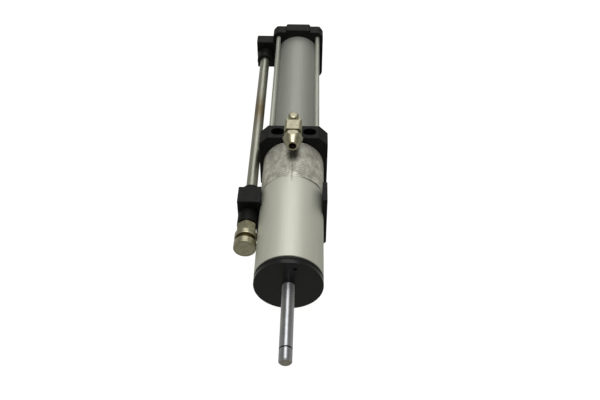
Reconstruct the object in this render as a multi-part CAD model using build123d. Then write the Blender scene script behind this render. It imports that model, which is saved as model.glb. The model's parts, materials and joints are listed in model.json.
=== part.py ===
"""Tie-rod pneumatic cylinder with a spring housing in front of its middle head.

Frame: the origin is on the middle head's lower face, midway between its two bolt holes.
The piston rod leaves towards -Y, the tie-rod barrel runs towards +Y, and +Z is up.

The shapes are drawn about the cylinder's axis, with Y = 0 at the front face of the middle
head, and are moved into the frame when they're written. All sizes are in millimetres.
"""
from build123d import *
import os
from math import cos, pi, radians, sin, sqrt

os.makedirs("parts", exist_ok=True)

# ---- Fits -----------------------------------------------------------------------------
run_gap = 0.03        # radial gap of a bush, guide or seal that slides or turns
fixed_gap = 0.05      # radial gap between pieces that are screwed or pushed together
face_gap = 0.1        # axial gap where two faces turn or slide against each other

# ---- Piston rod and its stroke --------------------------------------------------------
stroke = 80.0
rod_radius = 6.0            # the polished end that leaves the cylinder
rod_back_radius = 10.0      # the thicker length inside the cylinder
rod_shoulder = -66.5        # where the thick length starts
rod_stud_radius = 7.0       # the thread that carries the piston
rod_out = 83.0              # rod showing in front of the front cap at rest
rod_chamfer = 1.0
groove_from_tip = 13.0
groove_width = 1.2
groove_depth = 0.6

# ---- Middle head ----------------------------------------------------------------------
head_size = 75.0
head_length = 22.0
head_chamfer = 9.5
head_round = 2.5
head_half = head_size / 2
head_mid_y = head_length / 2
spigot_length = 8.0
front_spigot_radius = 28.95
rear_spigot_radius = 24.95
bush_radius = 12.0          # outside of the rod bush
seal_radius = 15.0          # outside of the rod seal
seal_depth = 6.0
pocket_outer_x = 24.7
pocket_inner_x = 10.3
pocket_width = 11.9
pocket_depth = 8.0
bolt_x = 17.5
bolt_hole_radius = 3.3
port_radius = 4.9

# ---- Spring housing and front cap -----------------------------------------------------
housing_radius = 33.0
housing_bore = 29.0
cap_face = -175.0
cap_rim = 5.0
housing_front = -166.0
cap_rear = -148.0
front_bush_radius = 9.0
wiper_radius = 7.4
wiper_depth = 4.0
spanner_hole_radius = 1.6
spanner_hole_circle = 25.1
spanner_hole_angle = 75.0
spanner_hole_depth = 5.0
band_length = 56.4
band_thickness = 0.18
band_seam = 0.4

# ---- Barrel, rear cap and tie rods ----------------------------------------------------
barrel_radius = 28.0
bore_radius = 25.0
rear_face = 229.0           # front face of the rear cap
rear_length = 17.0
rear_width = 66.0
rear_height = 68.4
rear_corner = 9.0
rear_half = rear_width / 2
rear_half_height = rear_height / 2
rear_end = rear_face + rear_length
rear_mid_y = rear_face + rear_length / 2
cavity_radius = 14.0
cavity_end = 241.0
pad_base = 34.0
pad_top = 29.0
pad_height = 3.0
tie_offset = 25.5
tie_radius = 2.75
tie_thread_radius = 2.95
tie_hole_radius = 3.2
tie_depth = 14.0
tie_washer_thickness = 1.2
tie_nut_height = 5.0
tie_nut_flats = 10.0
tie_end = rear_end + tie_washer_thickness + tie_nut_height + 1.8

# ---- Piston ---------------------------------------------------------------------------
piston_front = 192.0
piston_rear = 216.0
piston_radius = 24.9
piston_nut_flats = 22.0
piston_nut_height = 8.0
buffer_thickness = 4.0
stop_tube_radius = 15.0

# ---- Return spring --------------------------------------------------------------------
seat_front = -24.0
seat_rear = -18.0
seat_radius = 27.5
spring_radius = 23.0
spring_wire = 2.2
spring_coils = 8

# ---- Port blocks, saddle and transfer pipe --------------------------------------------
block_x = -44.5             # axis of the silencer and of the supply port
pipe_x = -43.8
block_outer_x = -55.0
block_half_height = 19.5
block_front = -82.0
block_rear = -59.0
collar_radius = 9.6
collar_end = -43.5
boss_radius = 10.3
boss_end = -97.0
rear_boss_radius = 10.2
rear_boss_end = 212.0
pipe_radius = 6.0
pipe_bore = 4.5
pipe_front = -61.5
pipe_rear = 234.5
saddle_half = 36.5
saddle_front = -86.0
saddle_rear = -59.0
saddle_top = 27.0
saddle_mouth = 31.5         # half the width between the cheeks
saddle_chamfer = 4.0
vent_y = -76.5
vent_radius = 2.5
supply_y = -65.5
supply_radius = 4.3
supply_depth = 12.0
block_screw_z = 12.0

# ---- Exhaust silencer -----------------------------------------------------------------
silencer_flats = 18.0
silencer_washer_thickness = 1.0
silencer_hex_front = -109.2
silencer_ring_front = -116.4
silencer_ring_radius = 11.3
silencer_core_radius = 9.6
element_radius = 9.6
silencer_cap_rear = -120.8
silencer_cap_front = -129.0
silencer_cap_radius = 11.3
spindle_radius = 3.5

# ---- Elbow fitting --------------------------------------------------------------------
outlet_z = 50.4
elbow_bottom = 41.2
elbow_half = 9.25
elbow_chamfer = 2.6
leg_rear = 3.0
leg_front = -12.2
post_radius = 9.2
post_top = 53.0
crown_radius = 5.8
crown_top = 60.8
thread_front = -20.5
thread_radius = 7.5
nut_rear = -14.8
nut_hex_front = -19.0
nut_front = -30.0
nut_flats = 18.4
nose_radius = 5.6
tube_radius = 4.1
tube_stop = -6.0            # the air tube is pushed in as far as this shoulder
passage_radius = 3.0
stem_radius = 5.0


# ---- Shapes used throughout -----------------------------------------------------------
def along_y(radius, y_from, y_to, x=0.0, z=0.0):
    """Round bar parallel to the cylinder's axis."""
    return Pos(x, (y_from + y_to) / 2, z) * Rot(90, 0, 0) * Cylinder(radius, abs(y_to - y_from))


def along_x(radius, x_from, x_to, y, z):
    """Round bar across the cylinder."""
    return Pos((x_from + x_to) / 2, y, z) * Rot(0, 90, 0) * Cylinder(radius, abs(x_to - x_from))


def along_z(radius, z_from, z_to, x, y):
    """Upright round bar."""
    return Pos(x, y, (z_from + z_to) / 2) * Cylinder(radius, abs(z_to - z_from))


def ring_y(outer, inner, y_from, y_to, x=0.0, z=0.0):
    """Plain ring or tube parallel to the cylinder's axis."""
    return along_y(outer, y_from, y_to, x, z) - along_y(inner, y_from - 1, y_to + 1, x, z)


def block(x_from, x_to, y_from, y_to, z_from, z_to):
    """Rectangular block between two corners."""
    centre = Pos((x_from + x_to) / 2, (y_from + y_to) / 2, (z_from + z_to) / 2)
    return centre * Box(abs(x_to - x_from), abs(y_to - y_from), abs(z_to - z_from))


def hexagon_y(flats, y_from, y_to, x=0.0, z=0.0, turn=0.0):
    """Hexagonal bar parallel to the cylinder's axis, with a flat on top unless it's turned."""
    outline = Pos(x, y_to, z) * Rot(90, 0, 0) * Rot(0, 0, turn) * RegularPolygon(flats / sqrt(3), 6)
    return extrude(outline, abs(y_to - y_from))


def o_ring_y(centre_radius, section_radius, y, x=0.0, z=0.0):
    """O-ring round an axis parallel to the cylinder's axis."""
    return Pos(x, y, z) * Rot(90, 0, 0) * Torus(centre_radius, section_radius)


def long_edges(shape, axis):
    """Straight edges of a shape that run along one axis."""
    return shape.edges().filter_by(GeomType.LINE).filter_by(axis)


def rim_edges(shape, radius):
    """Circular edges of one radius."""
    circles = shape.edges().filter_by(GeomType.CIRCLE)
    return [edge for edge in circles if abs(edge.radius - radius) < 0.01]


def corners(offset):
    """The four tie-rod positions as (x, z)."""
    return [(sx * offset, sz * offset) for sx in (-1, 1) for sz in (-1, 1)]


def socket_screw(shank_radius, shank_length, head_radius, head_height):
    """Cap screw along +Z: the head's underside is at the origin and the shank points down."""
    head = Pos(0, 0, head_height / 2) * Cylinder(head_radius, head_height)
    head = chamfer(head.edges().group_by(Axis.Z)[-1], 0.4)
    shank = Pos(0, 0, -shank_length / 2) * Cylinder(shank_radius, shank_length)
    socket = extrude(Pos(0, 0, head_height) * RegularPolygon(shank_radius * 0.9, 6), -head_height * 0.6)
    return head + shank - socket


# ---- Middle head and what it carries --------------------------------------------------
def make_middle_head():
    body = block(-head_half, head_half, 0, head_length, -head_half, head_half)
    body = chamfer(long_edges(body, Axis.Y), head_chamfer)
    body = fillet(long_edges(body, Axis.Y), head_round)
    body = chamfer(body.edges().group_by(Axis.Y)[0] + body.edges().group_by(Axis.Y)[-1], 0.6)
    body += along_y(front_spigot_radius, -spigot_length, 0)
    body += along_y(rear_spigot_radius, head_length, head_length + spigot_length)
    body -= along_y(bush_radius, -spigot_length, head_length - 2)
    body -= along_y(rod_back_radius + 0.3, 0, head_length + spigot_length)
    body -= along_y(seal_radius, -spigot_length, seal_depth - spigot_length)
    body -= along_y(seal_radius + 1, -spigot_length + 0.4, -spigot_length + 1.5)
    body -= ring_y(front_spigot_radius + 1, front_spigot_radius - 1.95, -5.2, -2.9)
    body -= ring_y(rear_spigot_radius + 1, rear_spigot_radius - 1.95, 24.6, 26.9)
    for x, z in corners(tie_offset):
        body -= along_y(tie_thread_radius + fixed_gap, head_length - tie_depth, head_length + 1, x, z)
    for side in (-1, 1):
        body -= make_bolt_pocket(side)
        body -= along_z(bolt_hole_radius, -head_half - 1, head_half + 1, side * bolt_x, head_mid_y)
    body -= along_z(port_radius, 26, head_half + 1, 0, head_mid_y)
    body -= along_z(3.0, 16, 27, 0, head_mid_y)
    body -= along_y(2.5, head_mid_y, head_length + spigot_length + 1, 0, 18)
    return body


def make_bolt_pocket(side):
    """Oblong counterbore for one mounting bolt."""
    length = pocket_outer_x - pocket_inner_x
    middle = side * (pocket_outer_x + pocket_inner_x) / 2
    outline = Pos(middle, head_mid_y, head_half + 1) * SlotOverall(length, pocket_width)
    return extrude(outline, -(pocket_depth + 1))


def make_rod_bush():
    return ring_y(bush_radius - fixed_gap, rod_back_radius + run_gap, -1.9, head_length - 2.1)


def make_rod_seal():
    body = ring_y(seal_radius - fixed_gap, rod_back_radius + run_gap, -6.4, -2.1)
    return body - ring_y(13.6, 11.4, -7.0, -5.0)


def make_seal_circlip():
    body = ring_y(seal_radius + 0.9, seal_radius - 2, -7.5, -6.5)
    return body - block(-4, 4, -8, -6, -20, 0)


def make_housing_seal():
    return o_ring_y(front_spigot_radius - 1.0, 0.95, -4.05)


def make_barrel_seals():
    head_ring = o_ring_y(rear_spigot_radius - 1.0, 0.95, 25.75)
    cap_ring = o_ring_y(rear_spigot_radius - 1.0, 0.95, rear_face - 3.75)
    return Compound(children=[head_ring, cap_ring])


# ---- Spring housing -------------------------------------------------------------------
def make_spring_housing():
    body = ring_y(housing_radius, housing_bore, housing_front, 0)
    body = chamfer(rim_edges(body, housing_radius), 0.4)
    body -= along_x(vent_radius, -saddle_half, 0, vent_y, 0)
    for z in (-block_screw_z, block_screw_z):
        body -= along_x(2.5 + fixed_gap, -saddle_half, -20, vent_y, z)
    for y in saddle_screw_rows():
        body -= along_z(2.5 + fixed_gap, -saddle_half, -20, 0, y)
    return body


def make_front_cap():
    body = along_y(housing_radius, cap_face, cap_face + cap_rim)
    body = fillet(rim_edges(body, housing_radius), 0.7)
    body += along_y(front_spigot_radius, cap_face + cap_rim, cap_rear)
    body -= along_y(front_bush_radius, cap_face + wiper_depth, cap_rear)
    body -= along_y(wiper_radius, cap_face, cap_face + wiper_depth)
    for turn in (0, 180):
        angle = radians(spanner_hole_angle + turn)
        x = spanner_hole_circle * cos(angle)
        z = spanner_hole_circle * sin(angle)
        body -= along_y(spanner_hole_radius, cap_face - 1, cap_face + spanner_hole_depth, x, z)
    return body


def make_front_cap_oring():
    return o_ring_y(housing_radius - 2.0, 1.92, (housing_front + cap_face + cap_rim) / 2)


def make_front_bush():
    return ring_y(front_bush_radius - fixed_gap, rod_radius + run_gap, cap_face + wiper_depth + 0.1, cap_rear)


def make_rod_wiper():
    return ring_y(wiper_radius - fixed_gap, rod_radius + run_gap, cap_face + 0.1, cap_face + wiper_depth)


def make_name_band():
    inner = housing_radius + 0.02
    body = ring_y(inner + band_thickness, inner, -0.6 - band_length, -0.6)
    return body - block(-band_seam / 2, band_seam / 2, -70, 1, 20, 40)


# ---- Saddle under the housing ---------------------------------------------------------
def saddle_screw_rows():
    """Y positions of the two screws under the saddle."""
    middle = (saddle_front + saddle_rear) / 2
    return (middle - 6.0, middle + 6.0)


def make_saddle():
    """Cradle under the spring housing. Above the axis its -X cheek is no taller or longer than the port block."""
    slot = housing_radius + fixed_gap
    body = block(-saddle_half, saddle_half, saddle_front, saddle_rear, -head_half, saddle_top)
    low = [edge for edge in long_edges(body, Axis.Y) if edge.center().Z < -1]
    body = chamfer(low, saddle_chamfer)
    body -= along_y(slot, saddle_front - 1, saddle_rear + 1)
    body -= block(-saddle_mouth, saddle_mouth, saddle_front - 1, saddle_rear + 1, 0, saddle_top + 1)
    body -= block(-saddle_half - 1, 0, saddle_front - 1, saddle_rear + 1, block_half_height, saddle_top + 1)
    body -= block(-saddle_half - 1, 0, saddle_front - 1, block_front, 0, saddle_top + 1)
    body -= along_y(boss_radius + fixed_gap, saddle_front - 1, block_front, block_x)
    body -= along_x(vent_radius, -saddle_half - 1, 0, vent_y, 0)
    for z in (-block_screw_z, block_screw_z):
        body -= along_x(2.7, -saddle_half - 1, 0, vent_y, z)
    for y in saddle_screw_rows():
        body -= along_z(2.7, -head_half - 1, -20, 0, y)
        body -= along_z(4.7, -head_half - 1, -head_half + 2.7, 0, y)
    return body


def make_saddle_screws():
    screw = socket_screw(2.5, 5.4, 4.5, 2.4)
    screws = [Pos(0, y, -head_half + 2.7) * Rot(180, 0, 0) * screw for y in saddle_screw_rows()]
    return Compound(children=screws)


# ---- Barrel, rear cap and tie rods ----------------------------------------------------
def make_barrel_tube():
    return ring_y(barrel_radius, bore_radius, head_length, rear_face)


def make_rear_cap():
    body = block(-rear_half, rear_half, rear_face, rear_end, -rear_half_height, rear_half_height)
    body = fillet(long_edges(body, Axis.Y), rear_corner)
    body += make_rear_pad()
    body = chamfer(body.edges().group_by(Axis.Y)[-1], 0.8)
    body += along_y(rear_spigot_radius, rear_face - spigot_length, rear_face)
    body -= along_y(cavity_radius, rear_face - spigot_length - 1, cavity_end)
    body -= ring_y(rear_spigot_radius + 1, rear_spigot_radius - 1.95, rear_face - 4.9, rear_face - 2.6)
    body -= along_x(4.0, -rear_half - 1, -10, rear_mid_y, 0)
    for z in (-block_screw_z, block_screw_z):
        body -= along_x(2.5 + fixed_gap, -rear_half - 1, -20, rear_mid_y, z)
    for x, z in corners(tie_offset):
        body -= along_y(tie_hole_radius, rear_face - 1, rear_end + 1, x, z)
    return body


def make_rear_pad():
    """Raised pad on top of the rear cap, with sloping sides."""
    z_base = rear_half_height - 1
    z_top = rear_half_height + pad_height
    outline = Polygon(
        (-pad_base / 2, z_base), (pad_base / 2, z_base), (pad_top / 2, z_top), (-pad_top / 2, z_top), align=None
    )
    return extrude(Pos(0, rear_end, 0) * Rot(90, 0, 0) * outline, rear_length)


def make_tie_rods():
    rods = []
    for x, z in corners(tie_offset):
        rod = along_y(tie_radius, head_length - tie_depth + 0.5, tie_end, x, z)
        rod += along_y(tie_thread_radius, head_length - tie_depth + 0.5, head_length - 0.5, x, z)
        rod += along_y(tie_thread_radius, rear_end - 3, tie_end, x, z)
        rods.append(rod)
    return Compound(children=rods)


def make_tie_washers():
    y_to = rear_end + tie_washer_thickness
    return Compound(children=[ring_y(6.0, tie_hole_radius, rear_end, y_to, x, z) for x, z in corners(tie_offset)])


def make_tie_nuts():
    y_from = rear_end + tie_washer_thickness
    y_to = y_from + tie_nut_height
    nuts = []
    for x, z in corners(tie_offset):
        nut = hexagon_y(tie_nut_flats, y_from, y_to, x, z)
        dome = Pos(x, y_from, z) * Rot(-90, 0, 0) * Cone(8.4, 4.9, 9.0, align=(Align.CENTER, Align.CENTER, Align.MIN))
        nut = nut & dome
        nuts.append(nut - along_y(tie_thread_radius + 0.02, y_from - 1, y_to + 1, x, z))
    return Compound(children=nuts)


# ---- Piston rod and what moves with it ------------------------------------------------
def make_piston_rod():
    tip = cap_face - rod_out
    front = along_y(rod_radius, tip, rod_shoulder + 1)
    front = chamfer(front.edges().group_by(Axis.Y)[0], rod_chamfer)
    middle = tip + groove_from_tip
    front -= ring_y(
        rod_radius + 1, rod_radius - groove_depth, middle - groove_width / 2, middle + groove_width / 2
    )
    back = along_y(rod_back_radius, rod_shoulder, piston_front)
    back = chamfer(back.edges().group_by(Axis.Y)[0], 1.5)
    back -= ring_y(rod_back_radius + 1, rod_back_radius - 0.8, seat_rear + 0.1, seat_rear + 1.5)
    stud = along_y(rod_stud_radius, piston_front - 1, piston_rear + piston_nut_height + 2)
    stud = chamfer(stud.edges().group_by(Axis.Y)[-1], 1.0)
    return front + back + stud


def piston_grooves():
    """Groove name to (inner radius, front, rear) for what the piston carries."""
    return {
        "front_seal": (20.5, piston_front + 1.5, piston_front + 5.5),
        "magnet": (21.0, piston_front + 7.0, piston_front + 11.0),
        "guide": (23.2, piston_front + 12.5, piston_front + 18.0),
        "rear_seal": (20.5, piston_front + 19.0, piston_front + 23.0),
    }


def groove_ring(name, outer):
    """Ring that fills one piston groove with a little room to spare."""
    inner, front, rear = piston_grooves()[name]
    return ring_y(outer, inner + fixed_gap, front + fixed_gap, rear - fixed_gap)


def make_piston():
    body = ring_y(piston_radius, rod_stud_radius + fixed_gap, piston_front, piston_rear)
    for inner, front, rear in piston_grooves().values():
        body -= ring_y(piston_radius + 1, inner, front, rear)
    return body


def make_piston_seals():
    seal_outer = bore_radius - run_gap
    lips = [
        groove_ring("front_seal", seal_outer) - ring_y(23.8, 21.8, piston_front + 1, piston_front + 3.2),
        groove_ring("rear_seal", seal_outer) - ring_y(23.8, 21.8, piston_rear - 2.7, piston_rear),
    ]
    return Compound(children=lips)


def make_guide_ring():
    body = groove_ring("guide", bore_radius - run_gap)
    return body - block(-0.5, 0.5, piston_front, piston_rear, 20, 30)


def make_magnet_ring():
    return groove_ring("magnet", piston_radius - 0.2)


def make_stop_tube():
    return ring_y(stop_tube_radius, rod_back_radius + fixed_gap, stop_front() + buffer_thickness, piston_front)


def stop_front():
    """Front end of the buffer that meets the middle head at full stroke."""
    return head_length + spigot_length + stroke + face_gap


def make_buffers():
    front = ring_y(
        stop_tube_radius, rod_back_radius + fixed_gap, stop_front(), stop_front() + buffer_thickness
    )
    rear = ring_y(22.0, 15.5, piston_rear, rear_face - spigot_length - face_gap)
    return Compound(children=[front, rear])


def make_piston_nut():
    body = hexagon_y(piston_nut_flats, piston_rear, piston_rear + piston_nut_height)
    return body - along_y(rod_stud_radius + fixed_gap, piston_rear - 1, piston_rear + 20)


def make_spring_seat():
    plate = ring_y(seat_radius, rod_back_radius + run_gap, seat_front, seat_rear)
    lip = ring_y(spring_radius - spring_wire - 0.6, rod_back_radius + run_gap, seat_front - 4, seat_front)
    return plate + lip


def make_seat_circlip():
    body = ring_y(13.5, rod_back_radius - 0.7, seat_rear + 0.15, seat_rear + 1.45)
    return body - block(-3, 3, -30, 0, 5, 30)


def make_return_spring():
    front = cap_rear + spring_wire + 0.1
    rear = seat_front - spring_wire - 0.1
    length = rear - front
    path = Helix(length / spring_coils, length, spring_radius, center=(0, front, 0), direction=(0, 1, 0))
    section = Plane(path @ 0, z_dir=path % 0) * Circle(spring_wire)
    return sweep(section, path=path)


# ---- Port blocks and transfer pipe ----------------------------------------------------
def block_screw_holes(x_inner, y):
    """Clearance holes and counterbores of a port block's two screws."""
    holes = []
    for z in (-block_screw_z, block_screw_z):
        holes.append(along_x(2.7, block_outer_x - 1, x_inner + 1, y, z))
        holes.append(along_x(4.6, block_outer_x - 1, block_outer_x + 5.5, y, z))
    return holes


def make_front_port_block():
    body = block(block_outer_x, -saddle_half, block_front, block_rear, -block_half_height, block_half_height)
    body = chamfer([edge for edge in body.edges() if edge.center().X < -saddle_half - 1], 0.8)
    body += along_y(collar_radius, block_rear, collar_end, pipe_x)
    body += along_y(boss_radius, boss_end, block_front, block_x)
    body = chamfer([e for e in rim_edges(body, collar_radius) if e.center().Y > collar_end - 0.1], 1.5)
    body -= along_y(pipe_radius + fixed_gap, pipe_front - 0.5, collar_end + 1, pipe_x)
    body -= along_y(pipe_bore, pipe_front - 8, pipe_front, pipe_x)
    body -= along_z(supply_radius, -block_half_height - 1, supply_depth - block_half_height, block_x, supply_y)
    body -= along_z(passage_radius, -block_half_height, 0, block_x, supply_y)
    body -= along_y(pipe_radius + fixed_gap, boss_end - 1, vent_y + vent_radius, block_x)
    body -= along_x(vent_radius, block_x, -saddle_half + 1, vent_y, 0)
    body -= ring_y(7.6, pipe_radius, -52.0, -50.4, pipe_x)
    body -= seal_groove(-saddle_half, vent_y)
    for hole in block_screw_holes(-saddle_half, vent_y):
        body -= hole
    return body


def make_rear_port_block():
    body = block(block_outer_x, -rear_half, rear_face, rear_end, -block_half_height, block_half_height)
    body = chamfer([edge for edge in body.edges() if edge.center().X < -rear_half - 1], 0.8)
    body += along_y(rear_boss_radius, rear_boss_end, rear_face, pipe_x)
    body = chamfer([e for e in rim_edges(body, rear_boss_radius) if e.center().Y < rear_boss_end + 0.1], 1.2)
    body -= along_y(pipe_radius + fixed_gap, rear_boss_end - 1, pipe_rear + 0.5, pipe_x)
    body -= along_y(pipe_bore, pipe_rear, rear_mid_y + 4, pipe_x)
    body -= along_x(4.0, pipe_x, -rear_half + 1, rear_mid_y, 0)
    body -= ring_y(7.6, pipe_radius, 218.0, 219.6, pipe_x)
    body -= seal_groove(-rear_half, rear_mid_y)
    for hole in block_screw_holes(-rear_half, rear_mid_y):
        body -= hole
    return body


def seal_groove(x, y):
    """Face groove for the O-ring round a port block's air hole."""
    return along_x(6.6, x - 1.5, x + 1, y, 0) - along_x(4.6, x - 2, x + 2, y, 0)


def make_block_seals():
    rings = []
    for x, y in ((-saddle_half, vent_y), (-rear_half, rear_mid_y)):
        rings.append(Pos(x - 0.75, y, 0) * Rot(0, 90, 0) * Torus(5.6, 0.72))
    return Compound(children=rings)


def make_block_screws():
    screws = []
    for y, x_end in ((vent_y, -28.0), (rear_mid_y, -21.0)):
        x_seat = block_outer_x + 5.5
        screw = socket_screw(2.5, x_end - x_seat, 4.3, 5.0)
        for z in (-block_screw_z, block_screw_z):
            screws.append(Pos(x_seat, y, z) * Rot(0, -90, 0) * screw)
    return Compound(children=screws)


def make_transfer_pipe():
    return ring_y(pipe_radius, pipe_bore, pipe_front, pipe_rear, pipe_x)


def make_pipe_seals():
    return Compound(children=[o_ring_y(6.79, 0.74, y, pipe_x) for y in (-51.2, 218.8)])


# ---- Exhaust silencer -----------------------------------------------------------------
def make_silencer_washer():
    return ring_y(9.0, 6.1, boss_end - silencer_washer_thickness, boss_end, block_x)


def make_silencer_body():
    hex_rear = boss_end - silencer_washer_thickness
    body = hexagon_y(silencer_flats, silencer_hex_front, hex_rear, block_x, turn=30)
    for end, facing in ((silencer_hex_front, -90), (hex_rear, 90)):
        cone = Cone(9.4, 25.0, 12.0, align=(Align.CENTER, Align.CENTER, Align.MIN))
        body &= Pos(block_x, end, 0) * Rot(facing, 0, 0) * cone
    body += along_y(pipe_radius, hex_rear - 1, hex_rear + 13, block_x)
    body += along_y(silencer_core_radius, silencer_ring_front, silencer_hex_front, block_x)
    collar = along_y(silencer_ring_radius, silencer_ring_front, silencer_hex_front - 0.8, block_x)
    body += fillet(rim_edges(collar, silencer_ring_radius), 0.8)
    body -= along_y(spindle_radius + 2.5, silencer_ring_front - 1, -111, block_x)
    body -= along_y(pipe_bore, -107, hex_rear + 20, block_x)
    for turn in range(4):
        angle = pi / 4 + turn * pi / 2
        body -= along_y(1.0, -112, -106, block_x + 4.4 * cos(angle), 4.4 * sin(angle))
    body += along_y(spindle_radius, -122, -110, block_x)
    return body


def make_silencer_element():
    return ring_y(element_radius, 6.3, silencer_cap_rear + 0.1, silencer_ring_front, block_x)


def make_silencer_cap():
    body = along_y(silencer_cap_radius, silencer_cap_front, silencer_cap_rear, block_x)
    body = chamfer(rim_edges(body, silencer_cap_radius), 0.7)
    body -= along_y(element_radius + 0.3, silencer_cap_front + 2.5, silencer_cap_rear + 1, block_x)
    body += along_y(5.5, silencer_cap_front + 2, -117.5, block_x)
    body -= along_y(spindle_radius + run_gap, silencer_cap_front + 1, -110, block_x)
    body -= ring_y(9.3, 8.9, silencer_cap_front - 1, silencer_cap_front + 0.3, block_x)
    return body


def make_throttle_ring():
    """Rubber ring on the spindle: it travels with the silencer's cap but doesn't turn."""
    return ring_y(5.4, spindle_radius + run_gap, -117.4, -116.0, block_x)


# ---- Elbow fitting --------------------------------------------------------------------
def make_elbow_washer():
    return along_z(7.5, head_half, head_half + 1, 0, head_mid_y) - along_z(5.0, 30, 50, 0, head_mid_y)


def make_elbow_stem():
    body = along_z(port_radius - fixed_gap, 27.5, head_half + 1.5, 0, head_mid_y)
    body += extrude(Pos(0, head_mid_y, head_half + 1) * RegularPolygon(14 / sqrt(3), 6), 2.5)
    body += along_z(stem_radius, head_half + 3, 46.5, 0, head_mid_y)
    body -= along_z(6.0, 42.6, 43.6, 0, head_mid_y) - along_z(4.4, 42, 44, 0, head_mid_y)
    body -= along_z(6.0, 44.6, 45.8, 0, head_mid_y) - along_z(4.0, 44, 46, 0, head_mid_y)
    return body - along_z(3.0, 27, 47, 0, head_mid_y)


def make_elbow_snap_ring():
    body = along_z(5.5, 42.7, 43.5, 0, head_mid_y) - along_z(4.45, 42, 44, 0, head_mid_y)
    return body - block(-1, 1, 12, 20, 42, 44)


def make_elbow_oring():
    return Pos(0, head_mid_y, 45.2) * Torus(4.52, 0.5)


def make_elbow_body():
    z_top = outlet_z + elbow_half
    leg = block(-elbow_half, elbow_half, leg_front, leg_rear, elbow_bottom, z_top)
    leg = chamfer(long_edges(leg, Axis.Y), elbow_chamfer)
    leg = chamfer(leg.edges().group_by(Axis.Y)[0], 0.6)
    post = along_z(post_radius, elbow_bottom, post_top, 0, head_mid_y)
    post = chamfer(post.edges().group_by(Axis.Z)[-1], 1.6)
    heel = block(-elbow_half, elbow_half, leg_rear - 0.5, head_mid_y, elbow_bottom, post_top - 2)
    crown = along_z(crown_radius, post_top - 1, crown_top, 0, head_mid_y)
    crown = fillet(crown.edges().group_by(Axis.Z)[-1], 2.8)
    body = leg + post + heel + crown
    body += along_y(thread_radius, thread_front, leg_front + 1, 0, outlet_z)
    body -= along_z(stem_radius + fixed_gap, elbow_bottom - 1, outlet_z + 4, 0, head_mid_y)
    body -= along_z(5.7, 42.5, 43.7, 0, head_mid_y)
    body -= along_y(tube_radius, thread_front - 1, tube_stop, 0, outlet_z)
    body -= along_y(passage_radius, tube_stop - 1, head_mid_y, 0, outlet_z)
    return body


def make_elbow_nut():
    hexagon = hexagon_y(nut_flats, nut_hex_front, nut_rear, 0, outlet_z)
    cone = Cone(nut_flats / 2 - 0.4, 25.0, 9.0, align=(Align.CENTER, Align.CENTER, Align.MIN))
    hexagon &= Pos(0, nut_rear, outlet_z) * Rot(90, 0, 0) * cone
    length = nut_hex_front - nut_front
    taper = Pos(0, nut_front, outlet_z) * Rot(-90, 0, 0) * Cone(
        nose_radius, nut_flats / 2 + 1.4, length, align=(Align.CENTER, Align.CENTER, Align.MIN)
    )
    facets = hexagon_y(nut_flats, nut_front, nut_hex_front, 0, outlet_z)
    body = hexagon + (taper & facets)
    body -= along_y(thread_radius + fixed_gap, thread_front - 0.8, nut_rear + 1, 0, outlet_z)
    body -= along_y(5.6, -26, thread_front, 0, outlet_z)
    return body - along_y(tube_radius, nut_front - 1, thread_front, 0, outlet_z)


def make_elbow_ferrule():
    body = ring_y(5.5, tube_radius, -25.9, -21.4, 0, outlet_z)
    return chamfer(rim_edges(body, 5.5), 0.8)


# ---- Writing --------------------------------------------------------------------------
makers = {
    "middle_head": make_middle_head,
    "rod_bush": make_rod_bush,
    "rod_seal": make_rod_seal,
    "seal_circlip": make_seal_circlip,
    "housing_seal": make_housing_seal,
    "barrel_seals": make_barrel_seals,
    "spring_housing": make_spring_housing,
    "front_cap": make_front_cap,
    "front_cap_oring": make_front_cap_oring,
    "front_bush": make_front_bush,
    "rod_wiper": make_rod_wiper,
    "name_band": make_name_band,
    "saddle": make_saddle,
    "saddle_screws": make_saddle_screws,
    "barrel_tube": make_barrel_tube,
    "rear_cap": make_rear_cap,
    "tie_rods": make_tie_rods,
    "tie_rod_washers": make_tie_washers,
    "tie_rod_nuts": make_tie_nuts,
    "piston_rod": make_piston_rod,
    "piston": make_piston,
    "piston_seals": make_piston_seals,
    "guide_ring": make_guide_ring,
    "magnet_ring": make_magnet_ring,
    "stop_tube": make_stop_tube,
    "buffers": make_buffers,
    "piston_nut": make_piston_nut,
    "spring_seat": make_spring_seat,
    "seat_circlip": make_seat_circlip,
    "return_spring": make_return_spring,
    "front_port_block": make_front_port_block,
    "rear_port_block": make_rear_port_block,
    "port_block_seals": make_block_seals,
    "port_block_screws": make_block_screws,
    "transfer_pipe": make_transfer_pipe,
    "pipe_seals": make_pipe_seals,
    "silencer_washer": make_silencer_washer,
    "silencer_body": make_silencer_body,
    "silencer_element": make_silencer_element,
    "silencer_cap": make_silencer_cap,
    "throttle_ring": make_throttle_ring,
    "elbow_washer": make_elbow_washer,
    "elbow_stem": make_elbow_stem,
    "elbow_snap_ring": make_elbow_snap_ring,
    "elbow_oring": make_elbow_oring,
    "elbow_body": make_elbow_body,
    "elbow_nut": make_elbow_nut,
    "elbow_ferrule": make_elbow_ferrule,
}

def in_frame(shape):
    """The shape's solids, moved from the cylinder's axis into the frame."""
    to_frame = Pos(0, -head_mid_y, head_half)
    return Compound([solid.moved(to_frame) for solid in shape.solids()])


for node, make in makers.items():
    export_step(in_frame(make()), f"parts/{node}.step")
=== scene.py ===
"""Looks of the pneumatic cylinder: materials, foil band, spring, threads, floor, light and camera.

Everything is in metres, in the frame of the CAD model: the rod leaves towards -Y, +Z is up,
and the origin is on the middle head's lower face.
"""

import json
import math

import bpy
from mathutils import Matrix, Vector, noise


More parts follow.
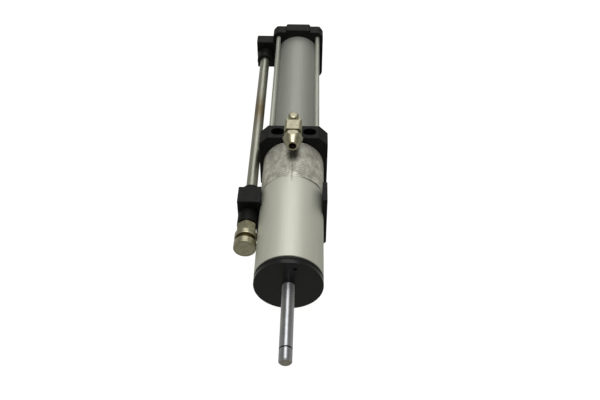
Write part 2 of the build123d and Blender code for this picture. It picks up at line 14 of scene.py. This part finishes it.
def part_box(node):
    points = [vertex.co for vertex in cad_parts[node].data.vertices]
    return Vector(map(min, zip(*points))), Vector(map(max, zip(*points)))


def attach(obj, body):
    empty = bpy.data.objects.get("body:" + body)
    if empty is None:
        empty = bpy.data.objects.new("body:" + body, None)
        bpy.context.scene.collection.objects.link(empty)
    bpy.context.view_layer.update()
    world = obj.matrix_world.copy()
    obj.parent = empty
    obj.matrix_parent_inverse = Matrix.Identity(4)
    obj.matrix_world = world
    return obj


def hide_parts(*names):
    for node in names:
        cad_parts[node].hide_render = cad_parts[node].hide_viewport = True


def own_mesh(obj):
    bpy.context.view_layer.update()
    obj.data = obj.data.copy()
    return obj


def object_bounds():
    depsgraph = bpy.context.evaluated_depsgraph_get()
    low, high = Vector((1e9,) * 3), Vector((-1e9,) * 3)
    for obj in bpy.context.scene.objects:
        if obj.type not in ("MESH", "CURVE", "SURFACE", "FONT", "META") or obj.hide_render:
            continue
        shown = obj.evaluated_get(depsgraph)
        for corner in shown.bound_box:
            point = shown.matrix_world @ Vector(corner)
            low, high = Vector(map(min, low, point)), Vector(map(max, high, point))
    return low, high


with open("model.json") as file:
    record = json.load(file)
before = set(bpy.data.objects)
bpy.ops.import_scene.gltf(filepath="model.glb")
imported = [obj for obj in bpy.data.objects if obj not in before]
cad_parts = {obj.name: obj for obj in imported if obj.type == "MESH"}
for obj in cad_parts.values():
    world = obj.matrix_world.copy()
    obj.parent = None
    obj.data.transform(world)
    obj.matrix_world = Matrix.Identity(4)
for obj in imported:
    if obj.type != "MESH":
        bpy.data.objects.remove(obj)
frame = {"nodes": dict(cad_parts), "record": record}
cad_low, cad_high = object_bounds()

MM = 0.001


# ---- Small helpers --------------------------------------------------------------------
def srgb(red, green, blue):
    """Linear colour from display values between 0 and 255."""
    def linear(value):
        value /= 255
        return value / 12.92 if value <= 0.04045 else ((value + 0.055) / 1.055) ** 2.4
    return (linear(red), linear(green), linear(blue), 1.0)


def centre_of(node):
    low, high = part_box(node)
    return (low + high) / 2


AXIS_Z = centre_of("spring_housing").z              # height of the cylinder's axis
HEAD_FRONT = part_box("spring_housing")[1].y          # the middle head's front face


class Surface:
    """One procedural material, with textures in object coordinates: the frame's own metres."""

    def __init__(self, name, metallic=0.0, roughness=0.5):
        self.material = bpy.data.materials.new(name)
        self.material.use_nodes = True
        self.nodes = self.material.node_tree.nodes
        self.links = self.material.node_tree.links
        self.shader = self.nodes["Principled BSDF"]
        self.place = self.nodes.new("ShaderNodeTexCoord").outputs["Object"]
        self.set("Metallic", metallic)
        self.set("Roughness", roughness)

    def set(self, name, value):
        """Gives a shader input a number, a colour or another node's output."""
        self.feed(self.shader.inputs[name], value)

    def feed(self, socket, value):
        if isinstance(value, bpy.types.NodeSocket):
            self.links.new(value, socket)
        else:
            socket.default_value = value

    def stretched(self, scale):
        """Coordinates multiplied by one factor for each axis."""
        node = self.nodes.new("ShaderNodeVectorMath")
        node.operation = "MULTIPLY"
        self.links.new(self.place, node.inputs[0])
        node.inputs[1].default_value = scale
        return node.outputs[0]

    def noise(self, scale, detail=3.0, roughness=0.55):
        """Cloudy noise. scale is in cycles per metre, one number or one for each axis."""
        node = self.nodes.new("ShaderNodeTexNoise")
        if isinstance(scale, tuple):
            self.links.new(self.stretched(scale), node.inputs["Vector"])
            node.inputs["Scale"].default_value = 1.0
        else:
            self.links.new(self.place, node.inputs["Vector"])
            node.inputs["Scale"].default_value = scale
        node.inputs["Detail"].default_value = detail
        node.inputs["Roughness"].default_value = roughness
        return node.outputs["Fac"]

    def tones(self, scale, low, high, light, dark, detail=4.0):
        """Two colours mixed by cloudy noise: light below low and dark above high."""
        return self.blend(self.spread(self.noise(scale, detail), low, high), light, dark)

    def cells(self, scale):
        """Distance to the nearest point of a random set."""
        node = self.nodes.new("ShaderNodeTexVoronoi")
        self.links.new(self.place, node.inputs["Vector"])
        node.inputs["Scale"].default_value = scale
        return node.outputs["Distance"]

    def spread(self, value, low, high, to_low=0.0, to_high=1.0):
        """Maps low..high to to_low..to_high, held at both ends."""
        node = self.nodes.new("ShaderNodeMapRange")
        self.feed(node.inputs["Value"], value)
        node.inputs["From Min"].default_value = low
        node.inputs["From Max"].default_value = high
        node.inputs["To Min"].default_value = to_low
        node.inputs["To Max"].default_value = to_high
        return node.outputs["Result"]

    def math(self, operation, first, second=0.0):
        """Result of one math node; either value may be a number or a node's output."""
        node = self.nodes.new("ShaderNodeMath")
        node.operation = operation
        self.feed(node.inputs[0], first)
        self.feed(node.inputs[1], second)
        return node.outputs[0]

    def product(self, *values):
        result = values[0]
        for value in values[1:]:
            result = self.math("MULTIPLY", result, value)
        return result

    def blend(self, share, first, second):
        """Colour between two colours."""
        node = self.nodes.new("ShaderNodeMix")
        node.data_type = "RGBA"
        self.feed(node.inputs["Factor"], share)
        self.feed(node.inputs["A"], first)
        self.feed(node.inputs["B"], second)
        return node.outputs["Result"]

    def axis(self, name):
        """One coordinate of the point, in metres."""
        node = self.nodes.new("ShaderNodeSeparateXYZ")
        self.links.new(self.place, node.inputs[0])
        return node.outputs[name]

    def away(self, name, middle):
        """Distance from a plane across one axis."""
        return self.math("ABSOLUTE", self.math("SUBTRACT", self.axis(name), middle))

    def upper(self):
        """1 above the cylinder's axis and 0 below it."""
        return self.spread(self.axis("Z"), AXIS_Z, AXIS_Z + 1 * MM)

    def facing(self, name):
        """How squarely the surface faces one axis, from -1 to 1."""
        geometry = self.nodes.new("ShaderNodeNewGeometry")
        node = self.nodes.new("ShaderNodeSeparateXYZ")
        self.links.new(geometry.outputs["Normal"], node.inputs[0])
        return node.outputs[name]

    def waves(self, distance, pitch):
        """Sine wave along a distance, from -1 to 1."""
        return self.math("SINE", self.product(distance, 2 * math.pi / pitch))

    def rings(self, x, z, pitch):
        """Waves round an axis parallel to Y, for turned faces."""
        dx = self.math("SUBTRACT", self.axis("X"), x)
        dz = self.math("SUBTRACT", self.axis("Z"), z)
        radius = self.math("SQRT", self.math("ADD", self.product(dx, dx), self.product(dz, dz)))
        return self.waves(radius, pitch)

    def rounded(self, radius):
        """Normal with its sharp edges rounded."""
        bevel = self.nodes.new("ShaderNodeBevel")
        bevel.inputs["Radius"].default_value = radius
        bevel.samples = 4
        return bevel.outputs["Normal"]

    def edges(self, radius):
        """1 on sharp edges and 0 on faces."""
        geometry = self.nodes.new("ShaderNodeNewGeometry")
        dot = self.nodes.new("ShaderNodeVectorMath")
        dot.operation = "DOT_PRODUCT"
        self.links.new(self.rounded(radius), dot.inputs[0])
        self.links.new(geometry.outputs["Normal"], dot.inputs[1])
        return self.spread(dot.outputs["Value"], 0.97, 0.80)

    def bump(self, height, depth, strength=1.0, soft_edge=0.0):
        """Surface relief, depth in metres. soft_edge rounds the look of sharp edges."""
        node = self.nodes.new("ShaderNodeBump")
        node.inputs["Strength"].default_value = strength
        node.inputs["Distance"].default_value = depth
        self.feed(node.inputs["Height"], height)
        if soft_edge:
            self.links.new(self.rounded(soft_edge), node.inputs["Normal"])
        self.set("Normal", node.outputs["Normal"])


# ---- Materials ------------------------------------------------------------------------
def make_black_cast():
    """Baked black paint on a casting: orange peel, dust, and bright metal on rubbed edges."""
    s = Surface("black_cast")
    dust = s.spread(s.noise(60.0, 5.0, 0.65), 0.45, 0.75)
    paint = s.blend(dust, srgb(15, 15, 15), srgb(25, 25, 24))
    rubbed = s.product(s.edges(0.3 * MM), s.spread(s.noise(350.0, 4.0, 0.7), 0.60, 0.74), 0.5)
    s.set("Base Color", s.blend(rubbed, paint, srgb(96, 95, 90)))
    s.set("Specular IOR Level", 0.18)
    s.set("Roughness", s.spread(s.noise(220.0), 0.3, 0.7, 0.44, 0.58))
    s.bump(s.noise(1400.0, 3.0, 0.6), 0.05 * MM, 0.5, soft_edge=0.6 * MM)
    return s.material


def make_black_cap():
    """Black anodised and turned: fine rings round the axis and a soft shine."""
    s = Surface("black_cap")
    s.set("Base Color", s.tones(90.0, 0.4, 0.7, srgb(22, 22, 23), srgb(30, 30, 31)))
    s.set("Specular IOR Level", 0.3)
    s.set("Roughness", s.spread(s.noise(160.0, 4.0), 0.3, 0.7, 0.2, 0.32))
    s.bump(s.rings(0.0, AXIS_Z, 0.28 * MM), 0.004 * MM, 0.3, soft_edge=0.35 * MM)
    return s.material


def drawn_aluminium(name, light, dark, roughness):
    """Satin anodised tube: drawing lines along it, faint clouds and a few scuffs."""
    s = Surface(name, metallic=0.5, roughness=roughness)
    lines = s.noise((2600.0, 22.0, 2600.0), 4.0, 0.6)
    clouds = s.spread(s.noise(28.0, 4.0), 0.35, 0.7)
    scuffs = s.spread(s.noise((500.0, 900.0, 500.0), 5.0, 0.7), 0.70, 0.78)
    tone = s.blend(s.spread(lines, 0.3, 0.7), light, dark)
    tone = s.blend(s.product(clouds, 0.25), tone, dark)
    s.set("Base Color", s.blend(s.product(scuffs, 0.3), tone, srgb(130, 130, 122)))
    s.set("Roughness", s.spread(lines, 0.25, 0.75, roughness - 0.04, roughness + 0.06))
    s.bump(lines, 0.008 * MM, 0.2)
    return s


def make_spring_tube():
    """The front tube, with a short scored line on top in front of the foil."""
    s = drawn_aluminium("satin_tube", srgb(217, 218, 205), srgb(206, 207, 194), 0.51)
    tone = s.shader.inputs["Base Color"].links[0].from_socket
    foil_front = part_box("name_band")[0].y
    beside = s.spread(s.away("X", 0.0), 0.2 * MM, 1.1 * MM, 1.0, 0.0)
    along = s.spread(s.axis("Y"), foil_front - 9 * MM, foil_front - 4 * MM)
    scored = s.product(beside, along, s.upper(), 0.5)
    s.set("Base Color", s.blend(scored, tone, srgb(120, 122, 108)))
    return s.material


def make_foil():
    """Thin crinkled foil: tarnished in clouds, a dark smudge below the elbow, a seam on top, and
    painted shade along creases and on the embossed bars.
    """
    s = Surface("foil", metallic=0.5)
    foil_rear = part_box("name_band")[1].y
    clouds = s.spread(s.noise((120.0, 90.0, 120.0), 6.0, 0.62), 0.36, 0.66)
    specks = s.spread(s.noise(620.0, 4.0, 0.7), 0.48, 0.72)
    tone = s.blend(clouds, srgb(240, 239, 228), srgb(178, 175, 164))
    tone = s.blend(s.product(specks, 0.4), tone, srgb(146, 140, 114))
    # Painted shade along the creases: darker streaks in the base colour.
    creases = s.spread(s.noise((300.0, 900.0, 300.0), 3.0, 0.6), 0.50, 0.62)
    tone = s.blend(s.product(creases, 0.42), tone, srgb(120, 117, 104))
    # Painted shade on the embossed bars: the base colour is darkened where they stand.
    tone = s.blend(s.product(embossed_bars_and_shade(s), 0.45), tone, srgb(112, 110, 98))
    tone = s.blend(foil_smudge(s, foil_rear), tone, srgb(40, 40, 38))
    tone = s.blend(foil_seam(s), tone, srgb(70, 68, 58))
    s.set("Base Color", tone)
    s.set("Roughness", s.spread(clouds, 0.0, 1.0, 0.36, 0.52))
    wrinkles = s.product(s.noise((220.0, 560.0, 220.0), 4.0, 0.6), 2.6)
    s.bump(s.math("ADD", wrinkles, s.product(embossed_bars_and_shade(s), 1.6)), 0.2 * MM, 1.0)
    return s.material


def foil_smudge(s, rear):
    """Soot-like patch on the top of the foil, a little to the right of the seam."""
    ragged = s.product(s.math("SUBTRACT", s.noise(260.0, 4.0, 0.6), 0.5), 6 * MM)
    across = s.math("ADD", s.away("X", 0.8 * MM), ragged)
    along = s.math("ADD", s.away("Y", rear - 21 * MM), ragged)
    narrow = s.spread(across, 2 * MM, 8.5 * MM, 1.0, 0.0)
    short = s.spread(along, 4 * MM, 13 * MM, 1.0, 0.0)
    return s.product(narrow, short, s.upper(), 0.8)


def foil_seam(s):
    """Thin dark line where the foil's ends meet."""
    beside = s.spread(s.away("X", 0.0), 0.15 * MM, 0.55 * MM, 1.0, 0.0)
    return s.product(beside, s.upper(), s.spread(s.noise(180.0), 0.3, 0.6, 0.4, 0.9))


def embossed_bars_and_shade(s):
    """Short embossed bars on both sides of the seam: a plain pattern, no letters. The mask gives
    the relief and also painted shade, darkening the base colour on the bars.
    """
    middle_x, middle_y = 10 * MM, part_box("name_band")[0].y + 10 * MM
    bars = s.spread(s.waves(s.axis("Y"), 3.2 * MM), 0.1, 0.7)
    from_middle = s.math("ABSOLUTE", s.math("SUBTRACT", s.away("X", 0.0), middle_x))
    beside = s.spread(from_middle, 3.6 * MM, 4.4 * MM, 1.0, 0.0)
    along = s.spread(s.away("Y", middle_y), 8.5 * MM, 9.5 * MM, 1.0, 0.0)
    return s.product(bars, beside, along, s.upper())


def make_chrome():
    """Ground, hard-chromed rod; its groove is darkened with painted shade, and its end face is
    turned and dull.
    """
    s = Surface("chrome_rod", metallic=1.0)
    marks = s.noise((40.0, 1500.0, 40.0), 2.0, 0.5)
    end = s.spread(s.facing("Y"), -0.75, -0.92)
    plate = s.tones(70.0, 0.4, 0.7, srgb(208, 209, 214), srgb(192, 193, 199))
    worn = s.tones(900.0, 0.35, 0.65, srgb(196, 190, 178), srgb(158, 152, 140))
    groove_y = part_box("piston_rod")[0].y + 13 * MM
    # Painted shade: the groove is darkened in the base colour.
    painted_groove_shade = s.spread(s.away("Y", groove_y), 0.5 * MM, 0.9 * MM, 1.0, 0.0)
    s.set("Base Color", s.blend(painted_groove_shade, s.blend(end, plate, worn), srgb(62, 60, 58)))
    s.set("Metallic", s.spread(end, 0.0, 1.0, 1.0, 0.55))
    s.set("Roughness", s.math("ADD", s.spread(marks, 0.3, 0.7, 0.38, 0.43), s.product(end, 0.1)))
    s.set("Anisotropic", s.spread(end, 0.0, 1.0, 1.0, 0.0))
    tangent = s.nodes.new("ShaderNodeCombineXYZ")
    tangent.inputs["Y"].default_value = 1.0
    s.set("Tangent", tangent.outputs["Vector"])
    s.bump(s.product(s.rings(0.0, AXIS_Z, 0.4 * MM), end), 0.006 * MM, 0.25)
    return s.material


def make_zinc():
    """Bright zinc plate with a slight cloud."""
    s = Surface("zinc_steel", metallic=0.6)
    tone = s.tones((70.0, 12.0, 70.0), 0.35, 0.7, srgb(188, 191, 180), srgb(166, 169, 158), 3.0)
    s.set("Base Color", tone)
    s.set("Roughness", s.spread(s.noise((900.0, 20.0, 900.0), 3.0), 0.3, 0.7, 0.44, 0.54))
    s.bump(s.noise((1800.0, 60.0, 1800.0), 3.0), 0.006 * MM, 0.2, soft_edge=0.3 * MM)
    return s.material


def make_pipe_steel():
    """Drawn steel pipe with a soft brown stain part-way along it."""
    s = Surface("pipe_steel", metallic=1.0)
    lines = s.noise((1500.0, 30.0, 1500.0), 3.0)
    low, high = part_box("transfer_pipe")
    stain_y = low.y + 0.535 * (high.y - low.y)
    near = s.spread(s.away("Y", stain_y), 4 * MM, 38 * MM, 1.0, 0.0)
    patches = s.spread(s.noise((60.0, 25.0, 60.0), 4.0), 0.5, 0.75)
    stain = s.math("ADD", s.product(near, 0.75), s.product(patches, 0.3))
    steel = s.blend(s.spread(lines, 0.3, 0.7), srgb(196, 197, 184), srgb(164, 164, 150))
    s.set("Base Color", s.blend(stain, steel, srgb(132, 112, 78)))
    s.set("Roughness", s.spread(stain, 0.0, 1.0, 0.4, 0.52))
    s.bump(lines, 0.008 * MM, 0.25)
    return s.material


def make_nickel():
    """Nickel-plated brass: warm, a little uneven, with brassy rubbed edges."""
    s = Surface("nickel_brass", metallic=1.0)
    clouds = s.spread(s.noise(260.0, 4.0, 0.6), 0.35, 0.7)
    plate = s.blend(clouds, srgb(190, 185, 161), srgb(163, 158, 132))
    rubbed = s.product(s.edges(0.25 * MM), s.spread(s.noise(500.0, 3.0), 0.5, 0.65), 0.6)
    s.set("Base Color", s.blend(rubbed, plate, srgb(184, 158, 110)))
    s.set("Roughness", s.spread(s.noise(500.0, 4.0), 0.3, 0.7, 0.28, 0.4))
    rings = s.rings(centre_of("silencer_cap").x, AXIS_Z, 0.9 * MM)
    turned = s.product(rings, s.spread(s.facing("Y"), -0.8, -0.95))
    s.bump(s.math("ADD", s.noise(1800.0, 3.0), turned), 0.02 * MM, 0.3, soft_edge=0.4 * MM)
    return s.material


def make_sintered(name, light, dark):
    """Sintered bronze: small round grains, with painted shade darkening the gaps between them."""
    s = Surface(name, metallic=1.0, roughness=0.5)
    grains = s.cells(2600.0)
    # Painted shade: the base colour darkens from each grain's middle towards the gaps.
    s.set("Base Color", s.blend(s.spread(grains, 0.1, 0.5), light, dark))
    s.bump(s.math("SUBTRACT", 1.0, grains), 0.12 * MM, 0.8)
    return s.material


def make_rubber():
    """Black seal rubber, matt and slightly mottled."""
    s = Surface("rubber", roughness=0.62)
    s.set("Base Color", s.blend(s.noise(300.0), srgb(12, 12, 12), srgb(22, 22, 22)))
    s.set("Specular IOR Level", 0.3)
    s.bump(s.noise(2500.0), 0.02 * MM, 0.4)
    return s.material


def make_oiled_steel(name, light, dark, roughness):
    """Plain steel with a thin coat: spring wire, circlips and black screws."""
    s = Surface(name, metallic=0.9, roughness=roughness)
    s.set("Base Color", s.tones(400.0, 0.35, 0.65, light, dark))
    s.set("Roughness", s.spread(s.noise(700.0, 3.0), 0.3, 0.7, roughness - 0.08, roughness + 0.08))
    s.bump(s.noise(1600.0, 3.0), 0.02 * MM, 0.3, soft_edge=0.2 * MM)
    return s.material


def make_turned_aluminium():
    """Lathe-turned aluminium with fine tool marks."""
    s = Surface("turned_aluminium", metallic=1.0, roughness=0.3)
    tone = s.tones(200.0, 0.3, 0.7, srgb(212, 212, 212), srgb(182, 182, 182), 3.0)
    s.set("Base Color", tone)
    s.bump(s.waves(s.axis("Y"), 0.35 * MM), 0.006 * MM, 0.4, soft_edge=0.3 * MM)
    return s.material


def make_moulded(name, light, dark, roughness):
    """Filled plastic or bonded magnet powder."""
    s = Surface(name, roughness=roughness)
    s.set("Base Color", s.tones(900.0, 0.35, 0.65, light, dark))
    s.bump(s.noise(2200.0, 3.0), 0.02 * MM, 0.4)
    return s.material


def make_copper():
    """Dull copper sealing washer."""
    s = Surface("copper_washer", metallic=1.0, roughness=0.4)
    s.set("Base Color", s.blend(s.noise(500.0, 4.0), srgb(150, 108, 78), srgb(112, 80, 56)))
    s.bump(s.noise(1500.0), 0.02 * MM, 0.3)
    return s.material


def make_barrel():
    """The rear tube, a little greyer than the front one."""
    return drawn_aluminium("barrel_tube", srgb(168, 170, 163), srgb(158, 160, 153), 0.48).material


materials = {
    "black_cast": make_black_cast(),
    "black_cap": make_black_cap(),
    "satin_tube": make_spring_tube(),
    "barrel_tube": make_barrel(),
    "foil": make_foil(),
    "chrome_rod": make_chrome(),
    "zinc_steel": make_zinc(),
    "pipe_steel": make_pipe_steel(),
    "nickel_brass": make_nickel(),
    "bronze": make_sintered("bronze", srgb(126, 108, 66), srgb(64, 52, 26)),
    "rubber": make_rubber(),
    "spring_steel": make_oiled_steel("spring_steel", srgb(120, 120, 122), srgb(84, 84, 86), 0.35),
    "black_steel": make_oiled_steel("black_steel", srgb(42, 42, 44), srgb(26, 26, 28), 0.42),
    "turned_aluminium": make_turned_aluminium(),
    "guide_plastic": make_moulded("guide_plastic", srgb(88, 104, 72), srgb(64, 78, 52), 0.5),
    "magnet": make_moulded("magnet", srgb(60, 60, 64), srgb(38, 38, 42), 0.6),
    "copper_washer": make_copper(),
}


def dress_cad_nodes():
    """Gives every CAD node the material of its slot in the record."""
    for entry in frame["record"]["subparts"]:
        node = frame["nodes"][entry["node"]]
        node.data.materials.clear()
        node.data.materials.append(materials[entry["material_slot"]])


dress_cad_nodes()


# ---- Pieces that stand in for CAD nodes, and threads ----------------------------------
def sheet_piece(name, columns, rows, place, material, closed=False):
    """Mesh made of a grid of points. place(u, v) gives a point, with u and v from 0 to 1."""
    across = columns if closed else columns + 1
    points = [place(c / columns, r / rows) for r in range(rows + 1) for c in range(across)]
    faces = []
    for r in range(rows):
        near, far = r * across, (r + 1) * across
        for c in range(columns):
            right = (c + 1) % across
            faces.append((near + c, near + right, far + right, far + c))
    mesh = bpy.data.meshes.new(name)
    mesh.from_pydata(points, [], faces)
    mesh.polygons.foreach_set("use_smooth", [True] * len(faces))
    mesh.materials.append(material)
    piece = bpy.data.objects.new(name, mesh)
    bpy.context.scene.collection.objects.link(piece)
    return piece


def make_spring():
    """Return spring with closed end coils."""
    low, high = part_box("return_spring")
    wire = 2.2 * MM
    coil = (high.x - low.x) / 2 - wire
    turns = 9.5
    first, last = low.y + wire * 0.2, high.y - wire * 0.2
    flat = 2 * wire * 0.9       # what one end coil takes up

    def centre(v):
        """Nearly flat for one coil at each end, evenly spread between them."""
        turn = v * turns
        body = min(max((turn - 1) / (turns - 2), 0.0), 1.0)
        closed = min(turn, 1.0) + max(turn - (turns - 1), 0.0)
        return first + flat * closed + (last - first - 2 * flat) * body

    def place(u, v):
        angle, ring = 2 * math.pi * turns * v, 2 * math.pi * u
        wall = wire if 0.0 < v < 1.0 else 0.0
        radius = coil + wall * math.cos(ring)
        y = centre(v) + wall * math.sin(ring)
        return (radius * math.cos(angle), y, AXIS_Z + radius * math.sin(angle))

    round_wire, along_wire = 12, int(turns * 40)        # faces
    steel = materials["spring_steel"]
    spring = sheet_piece("spring_coil", round_wire, along_wire, place, steel, closed=True)
    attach(spring, "cylinder")
    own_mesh(spring)
    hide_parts("return_spring")


def make_foil_wrap():
    """Crinkled foil round the spring housing, lifted along its front edge on the right."""
    low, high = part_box("name_band")
    radius = high.x - 0.14 * MM
    length = high.y - low.y
    half_gap = 0.4              # degrees left open at the seam, on each side of the top
    creases = ((0.10, 7.0), (0.07, 2.6), (0.03, 1.1))           # height and size, in mm
    corners = ((1.0, 50.0, 20.0, 0.07), (0.35, 140.0, 16.0, 0.05))   # height, angle, spread, depth

    def place(u, v):
        degrees = 90.0 + half_gap + (360.0 - 2 * half_gap) * u
        angle = math.radians(degrees)
        edge = Vector((math.cos(angle) * 3.0, math.sin(angle) * 3.0, 7.0))
        y = high.y - v * (length + 0.5 * MM * noise.noise(edge))
        spot = Vector((math.cos(angle) * radius, y, math.sin(angle) * radius)) / MM
        crinkle = sum(height * noise.noise(spot / size) for height, size in creases)
        side = math.degrees(math.atan2(math.sin(angle), math.cos(angle)))
        lift = 0.0
        for height, middle, spread, depth in corners:
            near = max(0.0, 1.0 - (1.0 - v) / depth) ** 2
            lift += height * math.exp(-((side - middle) / spread) ** 2) * near
        r = radius + (0.02 + abs(crinkle) + 0.9 * lift) * MM
        return (r * math.cos(angle), y, AXIS_Z + r * math.sin(angle))

    foil = sheet_piece("foil_wrap", 420, 110, place, materials["foil"])
    thickness = foil.modifiers.new("thickness", "SOLIDIFY")
    thickness.thickness = 0.1 * MM
    thickness.offset = 1.0
    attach(foil, "cylinder")
    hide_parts("name_band")


def make_thread(name, x, z, radius, y_from, y_to, body, slot):
    """Visible screw thread: one sharp closed ridge wound round a plain cylinder."""
    pitch = 1.0 * MM
    turns = (y_to - y_from) / pitch
    root = radius - 0.02 * MM           # just inside the cylinder it is wound on
    heights, offsets = (0.0, 0.28, 0.0), (-0.4, 0.0, 0.4)       # of the ridge's corners, in pitches
    faces_per_turn = 28

    def place(u, v):
        angle = 2 * math.pi * turns * v
        fade = min(1.0, v * turns / 0.5, (1 - v) * turns / 0.5)
        corner = round(u * 3)
        y = y_from + v * (y_to - y_from) + offsets[corner] * pitch * fade
        r = root + heights[corner] * pitch * fade
        return (x + r * math.cos(angle), y, z + r * math.sin(angle))

    steps = int(turns * faces_per_turn)
    thread = sheet_piece(name, 3, steps, place, materials[slot], closed=True)
    thread.data.polygons.foreach_set("use_smooth", [False] * len(thread.data.polygons))
    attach(thread, body)


def make_threads():
    """Threads on the four tie-rod ends and on the elbow's outlet behind its nut."""
    low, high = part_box("tie_rods")
    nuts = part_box("tie_rod_nuts")[1].y
    radius = 2.95 * MM          # of the tie rods
    rear = high.y - 0.3 * MM
    for column, x in (("left", low.x + radius), ("right", high.x - radius)):
        for row, z in (("low", low.z + radius), ("high", high.z - radius)):
            name = f"thread_{row}_{column}"
            make_thread(name, x, z, radius, nuts, rear, "cylinder", "zinc_steel")
    front, rear = (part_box("elbow_nut")[1].y + gap * MM for gap in (0.1, 1.2))
    outlet_z, outlet_radius = centre_of("elbow_nut").z, 7.5 * MM
    make_thread("thread_outlet", 0.0, outlet_z, outlet_radius, front, rear, "elbow", "nickel_brass")


make_spring()
make_foil_wrap()
make_threads()


# ---- Floor, light and camera ----------------------------------------------------------
def make_floor():
    """White sweep. Shiny metal doesn't mirror it, so the metal keeps its dark sides."""
    bpy.ops.mesh.primitive_plane_add(size=14.0, location=(0, 0, cad_low.z - 0.2 * MM))
    floor = bpy.context.object
    floor.name = "floor"
    floor.visible_glossy = False
    s = Surface("floor", roughness=0.9)
    s.set("Base Color", (0.22, 0.22, 0.22, 1.0))
    s.set("Specular IOR Level", 0.0)
    s.set("Emission Color", (1.0, 1.0, 1.0, 1.0))
    seen = s.nodes.new("ShaderNodeLightPath").outputs["Is Camera Ray"]
    s.set("Emission Strength", s.product(seen, 0.95))
    floor.data.materials.append(s.material)


def make_area_light(name, position, size, radiance, aim):
    """Soft box of even brightness. Its points start from the axis at the head's front face."""
    corner = Vector((0.0, HEAD_FRONT, AXIS_Z))
    position, aim = corner + Vector(position), corner + Vector(aim)
    data = bpy.data.lights.new(name, "AREA")
    data.shape = "RECTANGLE"
    data.size, data.size_y = size
    data.energy = radiance * size[0] * size[1] * math.pi
    light = bpy.data.objects.new(name, data)
    light.location = position
    light.rotation_mode = "QUATERNION"
    light.rotation_quaternion = (aim - position).to_track_quat("-Z", "Y")
    bpy.context.scene.collection.objects.link(light)


def make_world():
    """Studio walls: white to the camera; in reflections dim, and lighter low behind the object."""
    world = bpy.data.worlds.new("studio")
    world.use_nodes = True
    nodes, links = world.node_tree.nodes, world.node_tree.links
    background = nodes["Background"]
    split = nodes.new("ShaderNodeSeparateXYZ")
    links.new(nodes.new("ShaderNodeTexCoord").outputs["Generated"], split.inputs[0])

    def ramp(axis, low, high):
        """0 to 1 as one coordinate of the view direction goes from low to high."""
        node = nodes.new("ShaderNodeMapRange")
        node.inputs["From Min"].default_value = low
        node.inputs["From Max"].default_value = high
        links.new(split.outputs[axis], node.inputs["Value"])
        return node.outputs["Result"]

    def mix(share, first, second):
        """Colour between another node's colour and a fixed one."""
        node = nodes.new("ShaderNodeMix")
        node.data_type = "RGBA"
        node.inputs["B"].default_value = second
        links.new(share, node.inputs["Factor"])
        links.new(first, node.inputs["A"])
        return node.outputs["Result"]

    walls = nodes.new("ShaderNodeValToRGB")
    # height, from straight down to straight up, and brightness
    stops = ((0.0, 0.34), (0.2, 0.34), (0.32, 0.40), (0.5, 0.38),
             (0.6, 0.28), (0.85, 0.24), (1.0, 0.5))
    while len(walls.color_ramp.elements) < len(stops):
        walls.color_ramp.elements.new(0.5)
    for element, (place, grey) in zip(walls.color_ramp.elements, stops):
        element.position = place
        element.color = (grey, grey, grey * 0.92, 1.0)
    links.new(ramp("Z", -1.0, 1.0), walls.inputs["Fac"])
    low_behind = nodes.new("ShaderNodeMath")
    low_behind.operation = "MULTIPLY"
    links.new(ramp("Z", -0.45, -0.68), low_behind.inputs[0])
    links.new(ramp("Y", 0.2, 0.6), low_behind.inputs[1])
    reflected = mix(low_behind.outputs[0], walls.outputs["Color"], (0.62, 0.62, 0.58, 1.0))
    seen = nodes.new("ShaderNodeLightPath").outputs["Is Camera Ray"]
    links.new(mix(seen, reflected, (1.0, 1.0, 1.0, 1.0)), background.inputs["Color"])
    bpy.context.scene.world = world


def make_camera():
    """Looks down along the cylinder from in front of the rod."""
    position = Vector((0.0181, HEAD_FRONT - 0.5886, AXIS_Z + 0.4992))
    pitch, heading, roll = (math.radians(a) for a in (43.224, -1.044, 0.174))
    level = math.cos(pitch)
    ahead = Vector((math.sin(heading) * level, math.cos(heading) * level, -math.sin(pitch)))
    side = ahead.cross(Vector((0, 0, 1))).normalized()
    up = side.cross(ahead)
    side_rolled = math.cos(roll) * side + math.sin(roll) * up
    up_rolled = side_rolled.cross(ahead)
    data = bpy.data.cameras.new("camera")
    data.sensor_width = 36.0
    data.lens = 41.55
    data.clip_start, data.clip_end = 0.01, 50.0
    camera = bpy.data.objects.new("camera", data)
    turn = Matrix((side_rolled, up_rolled, -ahead)).transposed().to_4x4()
    camera.matrix_world = Matrix.Translation(position) @ turn
    bpy.context.scene.collection.objects.link(camera)
    bpy.context.scene.camera = camera


make_floor()
make_area_light("top_box", (0.0, 1.1, 1.1), (1.0, 3.0), 1.0, (0.0, 1.1, 0.0))
make_area_light("near_box", (0.0, 0.0, 0.95), (0.45, 0.45), 3.6, (0.0, 0.0, 0.0))
make_world()
make_camera()
bpy.context.scene.view_settings.view_transform = "Standard"
